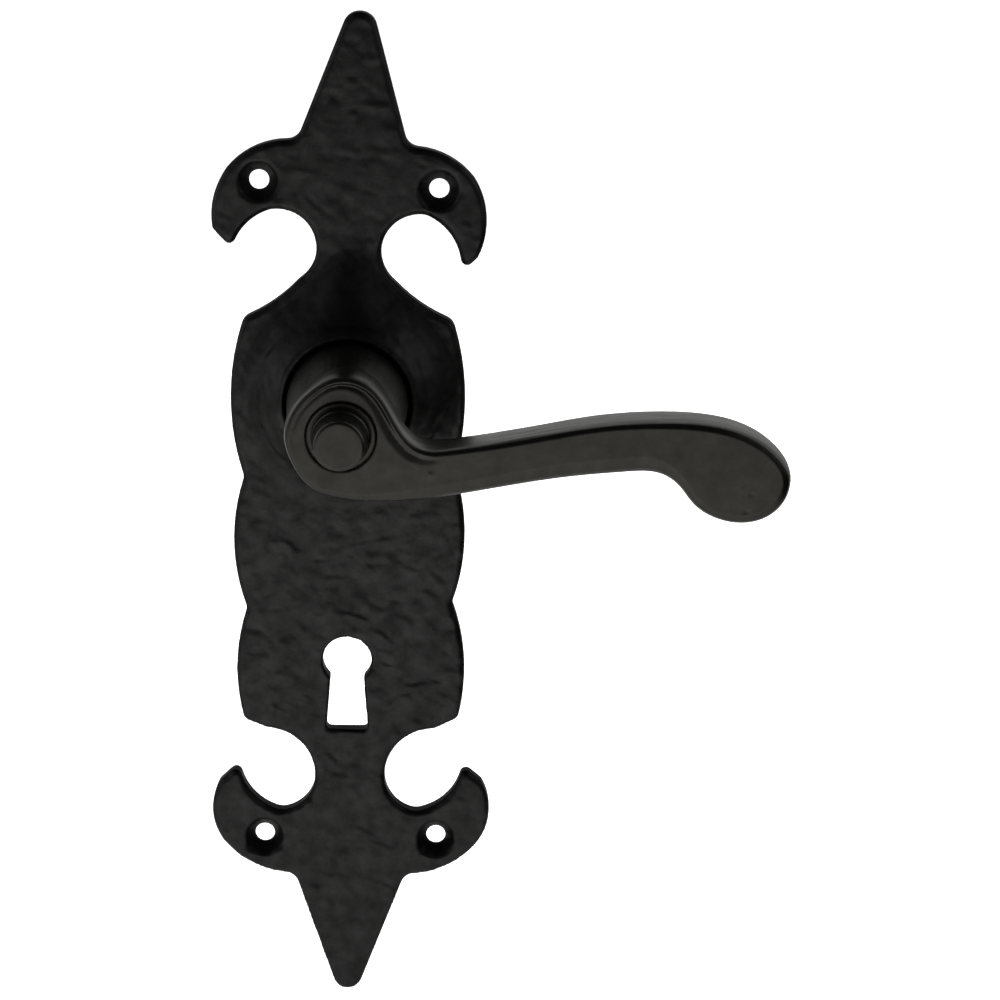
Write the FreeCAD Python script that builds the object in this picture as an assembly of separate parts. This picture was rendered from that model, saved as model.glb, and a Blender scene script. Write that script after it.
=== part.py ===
# Sprung lever handle on a hand-forged backplate, for a mortice lock.
# All sizes are in millimetres. X points to the right as one faces the door, Z points up and
# Y points into the door. The origin is on the spindle's axis, at the back face of the plate.

import FreeCAD, Part
import math
import os

os.makedirs("parts", exist_ok=True)
V = FreeCAD.Vector

# Backplate: a flat casting with a spear at each end and two hooks beside each spear.
plate_thickness = 4.0
plate_top = 78.3
plate_bottom = -129.6
front_edge_bevel = 0.75
top_tip_shift = 2.2
bottom_tip_shift = -0.5
top_tip_radius = 3.5
bottom_tip_radius = 3.1
corner_radius = 2.0
shoulder_corner_radius = 3.0
blend_radius = 4.0
least_kink = 5.0

# Spears and hooks: their roots, reaches and roundings.
spear_root_half_width = 11.1
spear_root_radius = 3.0
top_root_level = 51.8
bottom_root_widening = 0.5
bottom_root_level = -103.7
hook_reach = 27.2
hook_back_radius = 16.2
hook_heel_radius = 12.2
hook_belly_radius = 19.0
hook_inner_radius = 11.5
hook_tip_radius = 1.3
hook_tip_x = 24.0
top_hook_shoulder_x = 25.0
top_hook_shoulder_level = 45.7
top_hook_heel_level = 32.3
top_hook_tip_level = 28.8
bottom_hook_tip_level = -79.8
bottom_hook_heel_level = -83.0
bottom_hook_belly_x = 26.4
bottom_hook_belly_level = -96.6

# Round bites between the hooks and the middle of the plate.
bite_x = 14.8
bite_radius = 7.9
top_bite_level = 30.0
bottom_bite_level = -81.3
bite_lead_in_radius = 10.4
bite_lead_in_x = 17.2
bite_lead_in_drop = 1.7

# Middle of the plate: a narrow waist, sloping shoulders and three swelling lobes.
waist_half_width = 10.2
waist_level = 23.8
shoulder_half_width = 21.5
shoulder_level = 15.2
shoulder_hollow_radius = 32.0
notch_half_width = 21.55
upper_notch_level = -16.6
lower_notch_level = -44.1
base_half_width = 22.3
base_level = -69.3
upper_lobe_radius = 53.0
lower_lobe_radius = 42.0

# Screw holes, countersunk for No. 8 wood screws: place of each, then the size they share.
top_left_screw = (-18.2, 44.1)
top_right_screw = (18.2, 42.6)
bottom_left_screw = (-18.0, -95.4)
bottom_right_screw = (18.1, -95.5)
screw_hole_radius = 2.05
countersink_radius = 4.2
screw_land = 1.2

# Keyhole: a round top and a slot that widens downwards.
keyhole_x = -0.5
keyhole_level = -56.4
keyhole_radius = 5.1
keyhole_bottom = -71.6
keyhole_throat_half_width = 3.2
keyhole_foot_half_width = 4.4
keyhole_corner_radius = 1.0

# Bell: the raised part of the plate that the lever's neck turns in. Its skirt flares from
# the shoulder to the foot; its profile gives the share of that way and the height there. The
# dome's profile gives the share of the way in to the lip and the share of the way up to it.
bell_height = 7.2
bell_shoulder_height = 4.8
bell_shoulder_radius = 16.0
bell_lip_radius = 13.7
bell_ledge = 0.2
dome_profile = ((0.0, 0.0), (0.2, 0.5), (0.52, 0.86), (1.0, 1.0))
bell_foot_radius = 22.4
bell_foot_top = 30.5
bell_foot_sharpness = 26
bell_points = 36
skirt_profile = ((1.0, -0.05), (0.72, 0.75), (0.45, 1.8), (0.2, 3.2), (0.0, bell_shoulder_height))
mouth_depth = 1.2
mouth_gap = 0.6

# Hollow at the back of the bell, with the spigot that the spring sits round.
hollow_radius = 19.5
hollow_rim_depth = 3.4
hollow_knee_radius = 16.6
hollow_knee_depth = 6.2
hollow_floor_radius = 14.6
hollow_floor_depth = 7.6
spigot_radius = 11.2
spigot_end_depth = 3.6
lug_end_depth = 1.6
lug_root = 0.5

# Bush that the lever turns in.
bush_wall = 1.4
bush_flange_radius = 11.8
bush_flange_thickness = 0.8
bush_seat_gap = 0.05
running_gap = 0.06
end_play = 0.1

# Lever: shank, neck, head and arm are one casting.
shank_radius = 8.0
shank_end_depth = 0.2
shank_half_flats = 6.4
neck_base_radius = 12.3
neck_head_radius = 10.85
neck_edge_bevel = 0.4
arm_front = 39.2
arm_side_front = 35.8
arm_side_back = 32.6
arm_back = 27.8
arm_back_rounding = 3.3
arm_top_rounding = 0.4
socket_depth = 32.5
socket_gap = 0.1

# The arm's edge seen from the front, clockwise from the top of the head: x, z, and the width
# of the rounded bevel between that edge and the flat front face.
arm_edge = [
    (4.6, 11.05, 1.0),
    (8.55, 7.3, 1.0),
    (11.05, 2.8, 1.0),
    (12.85, 0.1, 1.0),
    (14.7, -1.65, 0.95),
    (17.0, -2.55, 0.9),
    (21.0, -2.4, 0.9),
    (26.0, -1.7, 0.9),
    (38.7, 0.6, 1.0),
    (50.0, 2.65, 1.0),
    (62.0, 3.55, 1.1),
    (72.0, 3.1, 1.2),
    (79.5, 1.1, 1.3),
    (85.0, -2.4, 1.4),
    (88.0, -7.0, 1.6),
    (87.0, -12.6, 1.8),
    (83.2, -16.1, 1.9),
    (78.5, -17.15, 1.8),
    (73.2, -16.1, 1.6),
    (68.8, -13.2, 1.6),
    (65.9, -9.6, 1.9),
    (62.8, -7.6, 2.9),
    (56.0, -7.2, 3.4),
    (44.0, -8.4, 3.3),
    (30.0, -10.75, 3.0),
    (18.0, -12.8, 2.8),
    (8.0, -13.45, 1.9),
    (0.0, -12.7, 1.2),
    (-6.2, -10.45, 1.0),
]

# The head's edge goes on from there: the angle about the spindle's axis and the reach at it.
head_edge = ((-150, 11.3), (180, 11.3), (151, 11.0), (124, 11.1), (98, 11.9))
head_bevel = 1.0

# How the bevel and the rounded back fall: share of the depth, share of the width taken in.
front_bevel_curve = ((0.0, 1.0), (0.22, 0.52), (0.55, 0.14), (1.0, 0.0))
back_rounding_curve = ((0.0, 0.0), (0.45, 0.17), (0.8, 0.52), (1.0, 1.0))

# Head: a button in a round groove.
button_front = 47.3
button_face_radius = 4.95
button_base_radius = 5.8
button_bead_height = 1.9
button_bead_width = 0.35
button_bead_slope = 0.5
button_edge_bevel = 0.25
groove_outer_radius = 6.95
groove_depth = 1.0
groove_undercut = 0.5

# Scroll: a valley that follows the lever's edge from the head's left side, over its top and
# down along the arm's root. It has a steep wall towards the edge and an easy slope towards the
# button; rows, one for each edge point: depth below the face, and the slope's width.
valley_inset = 1.65
valley_wall = 0.5
valley_overlap = 0.3
valley = (
    (-0.15, 0.9),
    (0.3, 0.9),
    (0.5, 1.0),
    (0.55, 1.0),
    (0.65, 1.2),
    (0.85, 1.5),
    (1.05, 1.9),
    (1.1, 2.2),
    (1.0, 2.3),
    (0.8, 2.3),
    (0.4, 2.3),
    (-0.15, 2.3),
)

# Spindle and the screw that grips it.
spindle_width = 8.0
spindle_length = 110.0
spindle_end_room = 1.0
spindle_chamfer = 0.6
grub_level = 16.5
grub_radius = 2.5
grub_length = 6.0
grub_tip_chamfer = 0.6
grub_thread_gap = 0.1
grub_tip_gap = 0.05
grub_hex_across = 2.5
grub_hex_depth = 2.4

# Return spring, of round wire drawn here with eight flat sides, and the blocks in the hollow
# that it and the drive plate press on.
wire = 1.2
wire_sides = 8
coil_radius = 12.8
coil_turns = 1.6
coil_front_depth = 6.85
coil_back_depth = 4.0
fixed_leg = 5.0
moving_leg = 8.0
leg_touch_gap = 0.06
anchor_behind = 2.2
anchor_ahead = 1.6
lever_travel = 40.0
stop_gap = 0.3
stop_lug_width = 4.0
stop_lug_inner = 15.6

# Drive plate, the washer before it and the circlip behind it.
washer_thickness = 0.5
washer_radius = 11.0
washer_bore_gap = 0.3
drive_plate_thickness = 1.2
drive_plate_radius = 12.5
drive_plate_gap = 0.05
drive_arm_angle = 110.0
drive_arm_reach = 18.2
drive_arm_half_width = 3.2
keeper_reach = 15.0
keeper_half_width = 4.0
tab_width = 4.0
tab_thickness = 1.3
tab_depth = 1.9
circlip_thickness = 0.8
circlip_groove_gap = 0.05
circlip_groove_depth = 0.6
circlip_radius = 9.5
circlip_gap_angle = 42.0
circlip_ear_angle = 9.0
circlip_ear_sink = 0.2
circlip_ear_radius = 1.5
circlip_ear_hole_radius = 0.6

# Sizes that follow from those above.
FRONT = -plate_thickness
LIP = FRONT - bell_height
half_socket = spindle_width / 2 + socket_gap
washer_back_depth = spigot_end_depth - washer_thickness
drive_shoulder_depth = washer_back_depth - drive_plate_gap
circlip_front_depth = drive_shoulder_depth - drive_plate_thickness - drive_plate_gap
leg_outer_radius = coil_radius + wire / 2 + leg_touch_gap
tab_lead = math.degrees(math.atan2(moving_leg - tab_width / 2, coil_radius + wire))
coil_end_angle = drive_arm_angle + tab_lead
coil_start_angle = coil_end_angle + 360 * coil_turns

TINY = 0.01
BIG = 200.0
SPARE = 1.0
DOOR = V(0, 1, 0)
DOWN = V(0, 0, -1)
AXIS_POINT = V(0, 0, 0)


def polar(radius, angle, y=0.0):
    turn = math.radians(angle)
    return V(radius * math.cos(turn), y, radius * math.sin(turn))


def save(shape, name):
    shape.exportStep("parts/" + name + ".step")


def revolved(profile):
    """Turn a closed run of (radius, y) corners about the spindle's axis."""
    corners = [V(radius, y, 0) for radius, y in profile]
    face = Part.Face(Part.makePolygon(corners + corners[:1]))
    return face.revolve(AXIS_POINT, DOOR, 360)


def disc(radius, y_front, y_back):
    return Part.makeCylinder(radius, y_back - y_front, V(0, y_front, 0), DOOR)


def ring(inner, outer, y_front, y_back):
    return disc(outer, y_front, y_back).cut(disc(inner, y_front - SPARE, y_back + SPARE))


def block(x0, x1, y0, y1, z0, z1):
    return Part.makeBox(x1 - x0, y1 - y0, z1 - z0, V(x0, y0, z0))


def turned(shape, angle):
    """Turn a shape about the spindle's axis; a positive angle goes from X towards Z."""
    copy = shape.copy()
    copy.rotate(AXIS_POINT, DOOR, -angle)
    return copy


def prism(points, along):
    return Part.Face(Part.makePolygon(points + points[:1])).extrude(along)


def stretch(start, end, radius):
    """One edge of an outline: straight, an arc that swells (radius > 0) or a hollow one."""
    if radius == 0:
        return Part.LineSegment(start, end).toShape()
    chord = end - start
    half = chord.Length / 2
    rise = abs(radius) - math.sqrt(radius ** 2 - half ** 2)
    outward = V(-chord.z, 0, chord.x)
    outward.normalize()
    middle = (start + end) / 2 + outward * math.copysign(rise, radius)
    return Part.Arc(start, middle, end).toShape()


def tangent_from(point, centre, radius, outward):
    """Where a line from a point touches a circle, on the side that outward picks."""
    away = point - centre
    reach = away.Length
    half_angle = math.acos(radius / reach)
    heading = math.atan2(away.z, away.x) + outward * half_angle
    return centre + V(radius * math.cos(heading), 0, radius * math.sin(heading))


# The plate's edge, from the top spear's root down to the bottom spear's root. Each row has
# the corner's place on the even pattern, how far the hand-forged edge strays from it on the
# left and on the right (outwards, upwards), the radius of the stretch that follows, which is
# hollow where negative and straight where 0, and the rounding of the corner. Where two
# stretches already run on smoothly, within the least kink in degrees, nothing is rounded.
edge_corners = [
    ((spear_root_half_width, top_root_level),
     (-0.6, 0.6), (0.8, -0.6), hook_back_radius, spear_root_radius),
    ((top_hook_shoulder_x, top_hook_shoulder_level),
     (-0.25, 0.8), (0.3, -0.8), hook_back_radius, blend_radius),
    ((hook_reach, top_hook_heel_level),
     (0.4, 2.1), (-1.1, -3.5), 0, hook_tip_radius),
    ((hook_tip_x, top_hook_tip_level),
     (-0.3, 1.4), (-1.3, -3.2), -hook_inner_radius, hook_tip_radius),
    ((bite_x, top_bite_level + bite_radius),
     (1.1, 0.4), (0.7, -0.4), -bite_radius, blend_radius),
    ((waist_half_width, waist_level),
     (0.0, 0.1), (-0.7, -0.3), -shoulder_hollow_radius, blend_radius),
    ((shoulder_half_width, shoulder_level),
     (0.0, 0.8), (-0.4, 0.5), upper_lobe_radius, shoulder_corner_radius),
    ((notch_half_width, upper_notch_level),
     (0.1, -0.7), (0.0, 0.8), lower_lobe_radius, corner_radius),
    ((notch_half_width, lower_notch_level),
     (-0.3, -1.2), (-0.3, 0.2), lower_lobe_radius, corner_radius),
    ((base_half_width, base_level),
     (-0.3, -0.3), (0.3, 0.3), 0, corner_radius),
    ((bite_lead_in_x, base_level - bite_lead_in_drop),
     (0.1, -0.4), (0.3, -0.4), -bite_lead_in_radius, blend_radius),
    ((bite_x - bite_radius, bottom_bite_level),
     (0.4, 0.1), (0.4, -0.3), -bite_radius, blend_radius),
    ((bite_x, bottom_bite_level - bite_radius),
     (-0.4, -0.5), (-1.1, -0.5), -hook_inner_radius, blend_radius),
    ((hook_tip_x, bottom_hook_tip_level),
     (-0.9, 0.3), (-0.5, 0.3), 0, hook_tip_radius),
    ((hook_reach, bottom_hook_heel_level),
     (0.1, -0.4), (0.4, 0.1), hook_heel_radius, hook_tip_radius),
    ((bottom_hook_belly_x, bottom_hook_belly_level),
     (0.2, 0.1), (-0.2, -0.6), hook_belly_radius, blend_radius),
    ((spear_root_half_width + bottom_root_widening, bottom_root_level),
     (0.0, 0.0), (0.0, 0.0), 0, spear_root_radius),
]


def kink(before, after, corner):
    """The angle, in degrees, by which an outline turns at the corner between two edges."""
    headings = []
    for edge in (before, after):
        heading = edge.tangentAt(edge.Curve.parameter(corner))
        if heading.dot(edge.CenterOfMass - corner) < 0:
            heading = heading * -1
        headings.append(heading)
    return 180 - math.degrees(headings[0].getAngle(headings[1]))


def edge_side(side):
    """The edges and rounded corners of one side; side is -1 on the left and 1 on the right."""
    points = []
    for place, left_stray, right_stray, radius, rounding in edge_corners:
        stray = left_stray if side < 0 else right_stray
        points.append(V(place[0] + stray[0], 0, place[1] + stray[1]))
    top_centre = V(side * top_tip_shift, 0, plate_top - top_tip_radius)
    bottom_centre = V(side * bottom_tip_shift, 0, plate_bottom + bottom_tip_radius)
    top_touch = tangent_from(points[0], top_centre, top_tip_radius, 1)
    bottom_touch = tangent_from(points[-1], bottom_centre, bottom_tip_radius, -1)
    edges = [stretch(top_touch, points[0], 0)]
    for index in range(len(points) - 1):
        edges.append(stretch(points[index], points[index + 1], edge_corners[index][3]))
    edges.append(stretch(points[-1], bottom_touch, 0))
    rounds = []
    for index, point in enumerate(points):
        if kink(edges[index], edges[index + 1], point) > least_kink:
            rounds.append((side * point.x, point.z, edge_corners[index][4]))
    if side < 0:
        edges = [edge.mirror(AXIS_POINT, V(1, 0, 0)) for edge in edges]
    ends = [V(side * end.x, 0, end.z) for end in (top_touch, bottom_touch)]
    return edges, rounds, ends


def is_upright_at(edge, x, z):
    ends = [vertex.Point for vertex in edge.Vertexes]
    return len(ends) == 2 and all(math.hypot(end.x - x, end.z - z) < TINY for end in ends)


def plate_blank():
    """The flat plate, with its corners rounded and its front edge bevelled."""
    left_edges, left_rounds, left_ends = edge_side(-1)
    right_edges, right_rounds, right_ends = edge_side(1)
    top = V(top_tip_shift, 0, plate_top)
    bottom = V(bottom_tip_shift, 0, plate_bottom)
    top_tip = Part.Arc(left_ends[0], top, right_ends[0]).toShape()
    bottom_tip = Part.Arc(left_ends[1], bottom, right_ends[1]).toShape()
    edges = left_edges + right_edges + [top_tip, bottom_tip]
    outline = Part.Wire(Part.__sortEdges__(edges))
    blank = Part.Face(outline).extrude(V(0, FRONT, 0))
    for x, z, radius in left_rounds + right_rounds:
        upright = [edge for edge in blank.Edges if is_upright_at(edge, x, z)]
        blank = blank.makeFillet(radius, upright)
    front = min(blank.Faces, key=lambda face: face.CenterOfMass.y)
    return blank.makeChamfer(front_edge_bevel, front.OuterWire.Edges)


def bell_section(share, height):
    """A closed curve round the bell's skirt; share is 0 at its shoulder and 1 at its foot."""
    points = []
    for step in range(bell_points):
        angle = step * 360.0 / bell_points
        upward = max(0.0, math.sin(math.radians(angle))) ** bell_foot_sharpness
        foot = bell_foot_radius + (bell_foot_top - bell_foot_radius) * upward
        radius = bell_shoulder_radius + (foot - bell_shoulder_radius) * share
        points.append(polar(radius, angle, FRONT - height))
    curve = Part.BSplineCurve()
    curve.interpolate(Points=points, PeriodicFlag=True)
    return Part.Wire(curve.toShape())


def bell():
    """The skirt flares up from the plate to a shoulder, and a steep dome stands on that."""
    sections = [bell_section(share, height) for share, height in skirt_profile]
    skirt = Part.makeLoft(sections, True, True)
    dome_radius = bell_shoulder_radius - bell_ledge
    shoulder = FRONT - bell_shoulder_height
    corners = [(0, LIP), (0, FRONT), (dome_radius, FRONT)]
    for inwards, upwards in dome_profile:
        radius = dome_radius + (bell_lip_radius - dome_radius) * inwards
        corners.append((radius, shoulder + (LIP - shoulder) * upwards))
    return skirt, revolved(corners)


def screw_hole(place):
    x, z = place
    over = V(x, FRONT - SPARE, z)
    shaft = Part.makeCylinder(screw_hole_radius, plate_thickness + 2 * SPARE, over, DOOR)
    sink_depth = plate_thickness - screw_land
    face = V(x, FRONT, z)
    sink = Part.makeCone(countersink_radius, screw_hole_radius, sink_depth, face, DOOR)
    mouth = Part.makeCylinder(countersink_radius, SPARE, over, DOOR)
    return shaft.fuse([sink, mouth])


def keyhole():
    """The through cut for the key: a round hole over a slot that widens downwards."""
    through = V(0, plate_thickness + 2 * SPARE, 0)
    over = FRONT - SPARE
    left_foot = keyhole_x - keyhole_foot_half_width
    right_foot = keyhole_x + keyhole_foot_half_width
    slot = prism([
        V(keyhole_x - keyhole_throat_half_width, over, keyhole_level),
        V(keyhole_x + keyhole_throat_half_width, over, keyhole_level),
        V(right_foot, over, keyhole_bottom),
        V(left_foot, over, keyhole_bottom),
    ], through)
    for foot in (left_foot, right_foot):
        lower = [edge for edge in slot.Edges if is_upright_at(edge, foot, keyhole_bottom)]
        slot = slot.makeFillet(keyhole_corner_radius, lower)
    middle = V(keyhole_x, over, keyhole_level)
    return slot.fuse(Part.makeCylinder(keyhole_radius, through.y, middle, DOOR))


def spring_anchor(foot_angle):
    """The block in the hollow that the spring's fixed leg presses outwards against."""
    front = -hollow_floor_depth - lug_root
    back = wire - coil_front_depth
    behind = fixed_leg - anchor_behind
    ahead = fixed_leg + anchor_ahead
    return turned(block(leg_outer_radius, hollow_radius, front, back, behind, ahead), foot_angle)


def stop_lug(arm_angle, side):
    """A block that the drive plate's arm comes up against; side is the way the arm moves."""
    face = drive_arm_half_width + stop_gap
    near = face if side > 0 else -face - stop_lug_width
    front = -hollow_floor_depth
    lug = block(stop_lug_inner, hollow_radius, front, -lug_end_depth, near, near + stop_lug_width)
    return turned(lug, arm_angle)


def backplate():
    """The whole casting: plate, bell, hollow, lugs and spigot, with its holes."""
    skirt, dome = bell()
    body = plate_blank().fuse(skirt).fuse(dome)
    hollow_corners = [
        (0, SPARE),
        (hollow_radius, SPARE),
        (hollow_radius, -hollow_rim_depth),
        (hollow_knee_radius, -hollow_knee_depth),
        (hollow_floor_radius, -hollow_floor_depth),
        (0, -hollow_floor_depth),
    ]
    mouth = disc(neck_base_radius + mouth_gap, LIP - SPARE, LIP + mouth_depth)
    body = body.cut(mouth).cut(revolved(hollow_corners))
    lug_room = revolved([(radius + lug_root, y - lug_root) for radius, y in hollow_corners])
    lugs = [spring_anchor(coil_start_angle)]
    lugs.append(stop_lug(drive_arm_angle, 1))
    lugs.append(stop_lug(drive_arm_angle - lever_travel, -1))
    for lug in lugs:
        body = body.fuse(lug.common(lug_room))
    spigot = disc(spigot_radius, -hollow_floor_depth - SPARE, -spigot_end_depth)
    bore_radius = shank_radius + running_gap + bush_wall + bush_seat_gap
    body = body.fuse(spigot).cut(disc(bore_radius, LIP - SPARE, SPARE))
    for place in (top_left_screw, top_right_screw, bottom_left_screw, bottom_right_screw):
        body = body.cut(screw_hole(place))
    return body.cut(keyhole()).removeSplitter()


def lever_edge():
    """The whole edge of the lever's front: the arm's points, then the head's back round."""
    points = [V(x, 0, z) for x, z, bevel in arm_edge]
    points += [polar(reach, angle) for angle, reach in head_edge]
    bevels = [bevel for x, z, bevel in arm_edge] + [head_bevel] * len(head_edge)
    return points, bevels


def inset_edge(points, insets, y):
    """The lever's edge moved inwards by a width at each point, at depth y."""
    moved = []
    for index, point in enumerate(points):
        along = points[(index + 1) % len(points)] - points[index - 1]
        inward = V(along.z, 0, -along.x)
        inward.normalize()
        moved.append(point + inward * insets[index] + V(0, y, 0))
    return moved


def back_widths(points):
    """How far the rounded back takes each point in: little where the edge faces upwards."""
    widths = []
    for index in range(len(points)):
        along = points[(index + 1) % len(points)] - points[index - 1]
        upward = (1 + along.x / along.Length) / 2
        widths.append(arm_back_rounding + (arm_top_rounding - arm_back_rounding) * upward)
    return widths


def marks_along(points):
    """How far along a run of points each of them lies, as shares of its whole length."""
    marks = [0.0]
    for before, after in zip(points, points[1:]):
        marks.append(marks[-1] + (after - before).Length)
    return [mark / marks[-1] for mark in marks]


def ring_halves(points, insets, y):
    """The lever's edge moved inwards at depth y, as two open curves that meet at their ends."""
    marks = marks_along(points + points[:1])
    curve = Part.BSplineCurve()
    ring_points = inset_edge(points, insets, y)
    curve.interpolate(Points=ring_points, Parameters=marks, PeriodicFlag=True)
    curve.setNotPeriodic()
    middle = marks[len(points) // 2]
    first = curve.copy()
    first.segment(curve.FirstParameter, middle)
    second = curve.copy()
    second.segment(middle, curve.LastParameter)
    return first.toShape(), second.toShape()


def strip(start, end):
    """The ruled face between two open curves."""
    return Part.makeLoft([Part.Wire([start]), Part.Wire([end])], False, True).Faces[0]


def sewn(faces):
    skin = Part.makeCompound(faces)
    skin.sewShape(TINY / 2)
    return Part.Solid(skin.Shells[0])


def lever_blade():
    """The flat-fronted arm and head, bevelled at the front and rounded at the back."""
    points, bevels = lever_edge()
    rings = []
    for share, inset in front_bevel_curve:
        y = -arm_front + share * (arm_front - arm_side_front)
        rings.append(ring_halves(points, [bevel * inset for bevel in bevels], y))
    widths = back_widths(points)
    for share, inset in back_rounding_curve:
        y = -arm_side_back + share * (arm_side_back - arm_back)
        rings.append(ring_halves(points, [width * inset for width in widths], y))
    faces = [Part.Face(Part.Wire(list(halves))) for halves in (rings[0], rings[-1])]
    for before, after in zip(rings, rings[1:]):
        faces += [strip(start, end) for start, end in zip(before, after)]
    return sewn(faces)


def lever_neck():
    """The cone that stands on the plate, and the shank that turns in the bush."""
    neck_front = -(arm_side_front + arm_side_back) / 2
    neck_back = LIP + mouth_depth - bush_flange_thickness - end_play
    shank_back = -shank_end_depth
    return revolved([
        (0, neck_front),
        (neck_head_radius, neck_front),
        (neck_base_radius, neck_back - neck_edge_bevel),
        (neck_base_radius - neck_edge_bevel, neck_back),
        (shank_radius, neck_back),
        (shank_radius, shank_back - neck_edge_bevel),
        (shank_radius - neck_edge_bevel, shank_back),
        (0, shank_back),
    ])


def button():
    """A truncated cone on a thin bead, standing on the floor of the round groove."""
    floor = groove_depth + SPARE - arm_front
    bead_top = -arm_front - button_bead_height
    cone_radius = button_base_radius - button_bead_width
    return revolved([
        (0, floor),
        (button_base_radius, floor),
        (button_base_radius, bead_top),
        (cone_radius, bead_top - button_bead_slope),
        (button_face_radius, button_edge_bevel - button_front),
        (button_face_radius - button_edge_bevel, -button_front),
        (0, -button_front),
    ])


def valley_cutter():
    """The scroll's valley as a three-sided bar; both its ends lie clear of the face."""
    points, bevels = lever_edge()
    over = -arm_front - valley_overlap
    lip_inset = valley_inset - valley_wall
    lips = inset_edge(points, [lip_inset] * len(points), over)
    floors = inset_edge(points, [valley_inset] * len(points), -arm_front)
    runs = ([], [], [])
    for index, (depth, slope) in enumerate(valley, start=-len(head_edge)):
        inward = (floors[index] - lips[index] - V(0, valley_overlap, 0)).normalize()
        floor = floors[index] + V(0, depth, 0)
        runs[0].append(lips[index])
        runs[1].append(floor)
        runs[2].append(floor + inward * slope - V(0, depth + valley_overlap, 0))
    marks = marks_along(runs[1])
    edges = []
    for run in runs:
        curve = Part.BSplineCurve()
        curve.interpolate(Points=run, Parameters=marks)
        edges.append(curve.toShape())
    faces = [strip(edges[side - 1], edges[side]) for side in range(3)]
    for end in (0, -1):
        corners = [run[end] for run in runs]
        faces.append(Part.Face(Part.makePolygon(corners + corners[:1])))
    return sewn(faces)


def lever():
    """Arm, head, neck and shank in one casting, with the square socket for the spindle."""
    groove_inner = button_base_radius - groove_undercut
    groove = ring(groove_inner, groove_outer_radius, -arm_front - SPARE, groove_depth - arm_front)
    body = lever_blade().cut(valley_cutter()).fuse(lever_neck()).cut(groove).fuse(button())
    half = half_socket
    socket = block(-half, half, -socket_depth, SPARE, -half, half)
    reach = shank_radius + SPARE
    upper_flat = block(-reach, reach, -drive_shoulder_depth, SPARE, shank_half_flats, reach)
    lower_flat = upper_flat.mirror(AXIS_POINT, DOWN)
    clip_front = -circlip_front_depth - circlip_groove_gap
    clip_back = -circlip_front_depth + circlip_thickness + circlip_groove_gap
    clip_groove = ring(shank_radius - circlip_groove_depth, reach, clip_front, clip_back)
    grub_hole = Part.makeCylinder(grub_radius, neck_base_radius, V(0, -grub_level, 0), DOWN)
    return body.cut([socket, upper_flat, lower_flat, clip_groove, grub_hole]).removeSplitter()


def neck_bush():
    """A flanged nylon bush: the tube lines the bore and the flange carries the neck."""
    seat = LIP + mouth_depth
    front = seat - bush_flange_thickness
    inner = shank_radius + running_gap
    tube = ring(inner, inner + bush_wall, front, -spigot_end_depth - bush_seat_gap)
    return tube.fuse(ring(inner, bush_flange_radius, front, seat)).removeSplitter()


def thrust_washer():
    inner = shank_radius + washer_bore_gap
    return ring(inner, washer_radius, -spigot_end_depth, -washer_back_depth)


def drive_plate():
    """A pressed plate on the shank's flats: its arm meets the stops, its tab the spring."""
    front = -drive_shoulder_depth
    back = front + drive_plate_thickness
    arm = block(0, drive_arm_reach, front, back, -drive_arm_half_width, drive_arm_half_width)
    keeper = block(0, keeper_reach, front, back, -keeper_half_width, keeper_half_width)
    tab_end = leg_outer_radius + tab_thickness
    tab_low = -moving_leg
    tab = block(leg_outer_radius, tab_end, front - tab_depth, back, tab_low, tab_low + tab_width)
    plate = disc(drive_plate_radius, front, back).fuse([
        turned(arm, drive_arm_angle),
        turned(keeper, drive_arm_angle + 180),
        turned(tab, coil_end_angle),
    ])
    hole = disc(shank_radius + running_gap, front - SPARE, back + SPARE)
    across = shank_half_flats + running_gap
    between = block(-BIG, BIG, front - BIG, back + BIG, -across, across)
    return plate.cut(hole.common(between)).removeSplitter()


def circlip():
    """A spring-steel ring, open at the bottom, with a holed ear at each end for pliers."""
    front = -circlip_front_depth
    back = front + circlip_thickness
    inner = shank_radius - circlip_groove_depth + circlip_groove_gap
    half = circlip_gap_angle / 2
    under = front - SPARE
    gap_corners = [polar(0, 0, under), polar(BIG, -90 - half, under), polar(BIG, -90 + half, under)]
    clip = ring(inner, circlip_radius, front, back)
    clip = clip.cut(prism(gap_corners, V(0, circlip_thickness + 2 * SPARE, 0)))
    eyes = []
    for side in (-1, 1):
        angle = -90 + side * (half + circlip_ear_angle)
        middle = polar(circlip_radius - circlip_ear_sink, angle, front)
        clip = clip.fuse(Part.makeCylinder(circlip_ear_radius, circlip_thickness, middle, DOOR))
        eyes.append(Part.makeCylinder(circlip_ear_hole_radius, circlip_thickness, middle, DOOR))
    return clip.cut(eyes).cut(disc(inner, under, back + SPARE)).removeSplitter()


def is_round_at(edge, z):
    return edge.Curve.TypeId == "Part::GeomCircle" and abs(edge.CenterOfMass.z - z) < TINY


def grub_screw():
    """A socket set screw in the underside of the neck; its tip nips the spindle."""
    tip = -spindle_width / 2 - grub_tip_gap
    foot = tip - grub_length
    body_radius = grub_radius - grub_thread_gap
    screw = Part.makeCylinder(body_radius, grub_length, V(0, -grub_level, tip), DOWN)
    tip_edges = [edge for edge in screw.Edges if is_round_at(edge, tip)]
    screw = screw.makeChamfer(grub_tip_chamfer, tip_edges)
    hex_corner = grub_hex_across / math.sqrt(3)
    corners = []
    for step in range(6):
        turn = math.radians(60 * step)
        across = hex_corner * math.cos(turn)
        along = hex_corner * math.sin(turn)
        corners.append(V(across, along - grub_level, foot))
    return screw.cut(prism(corners, V(0, 0, grub_hex_depth)))


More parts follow.
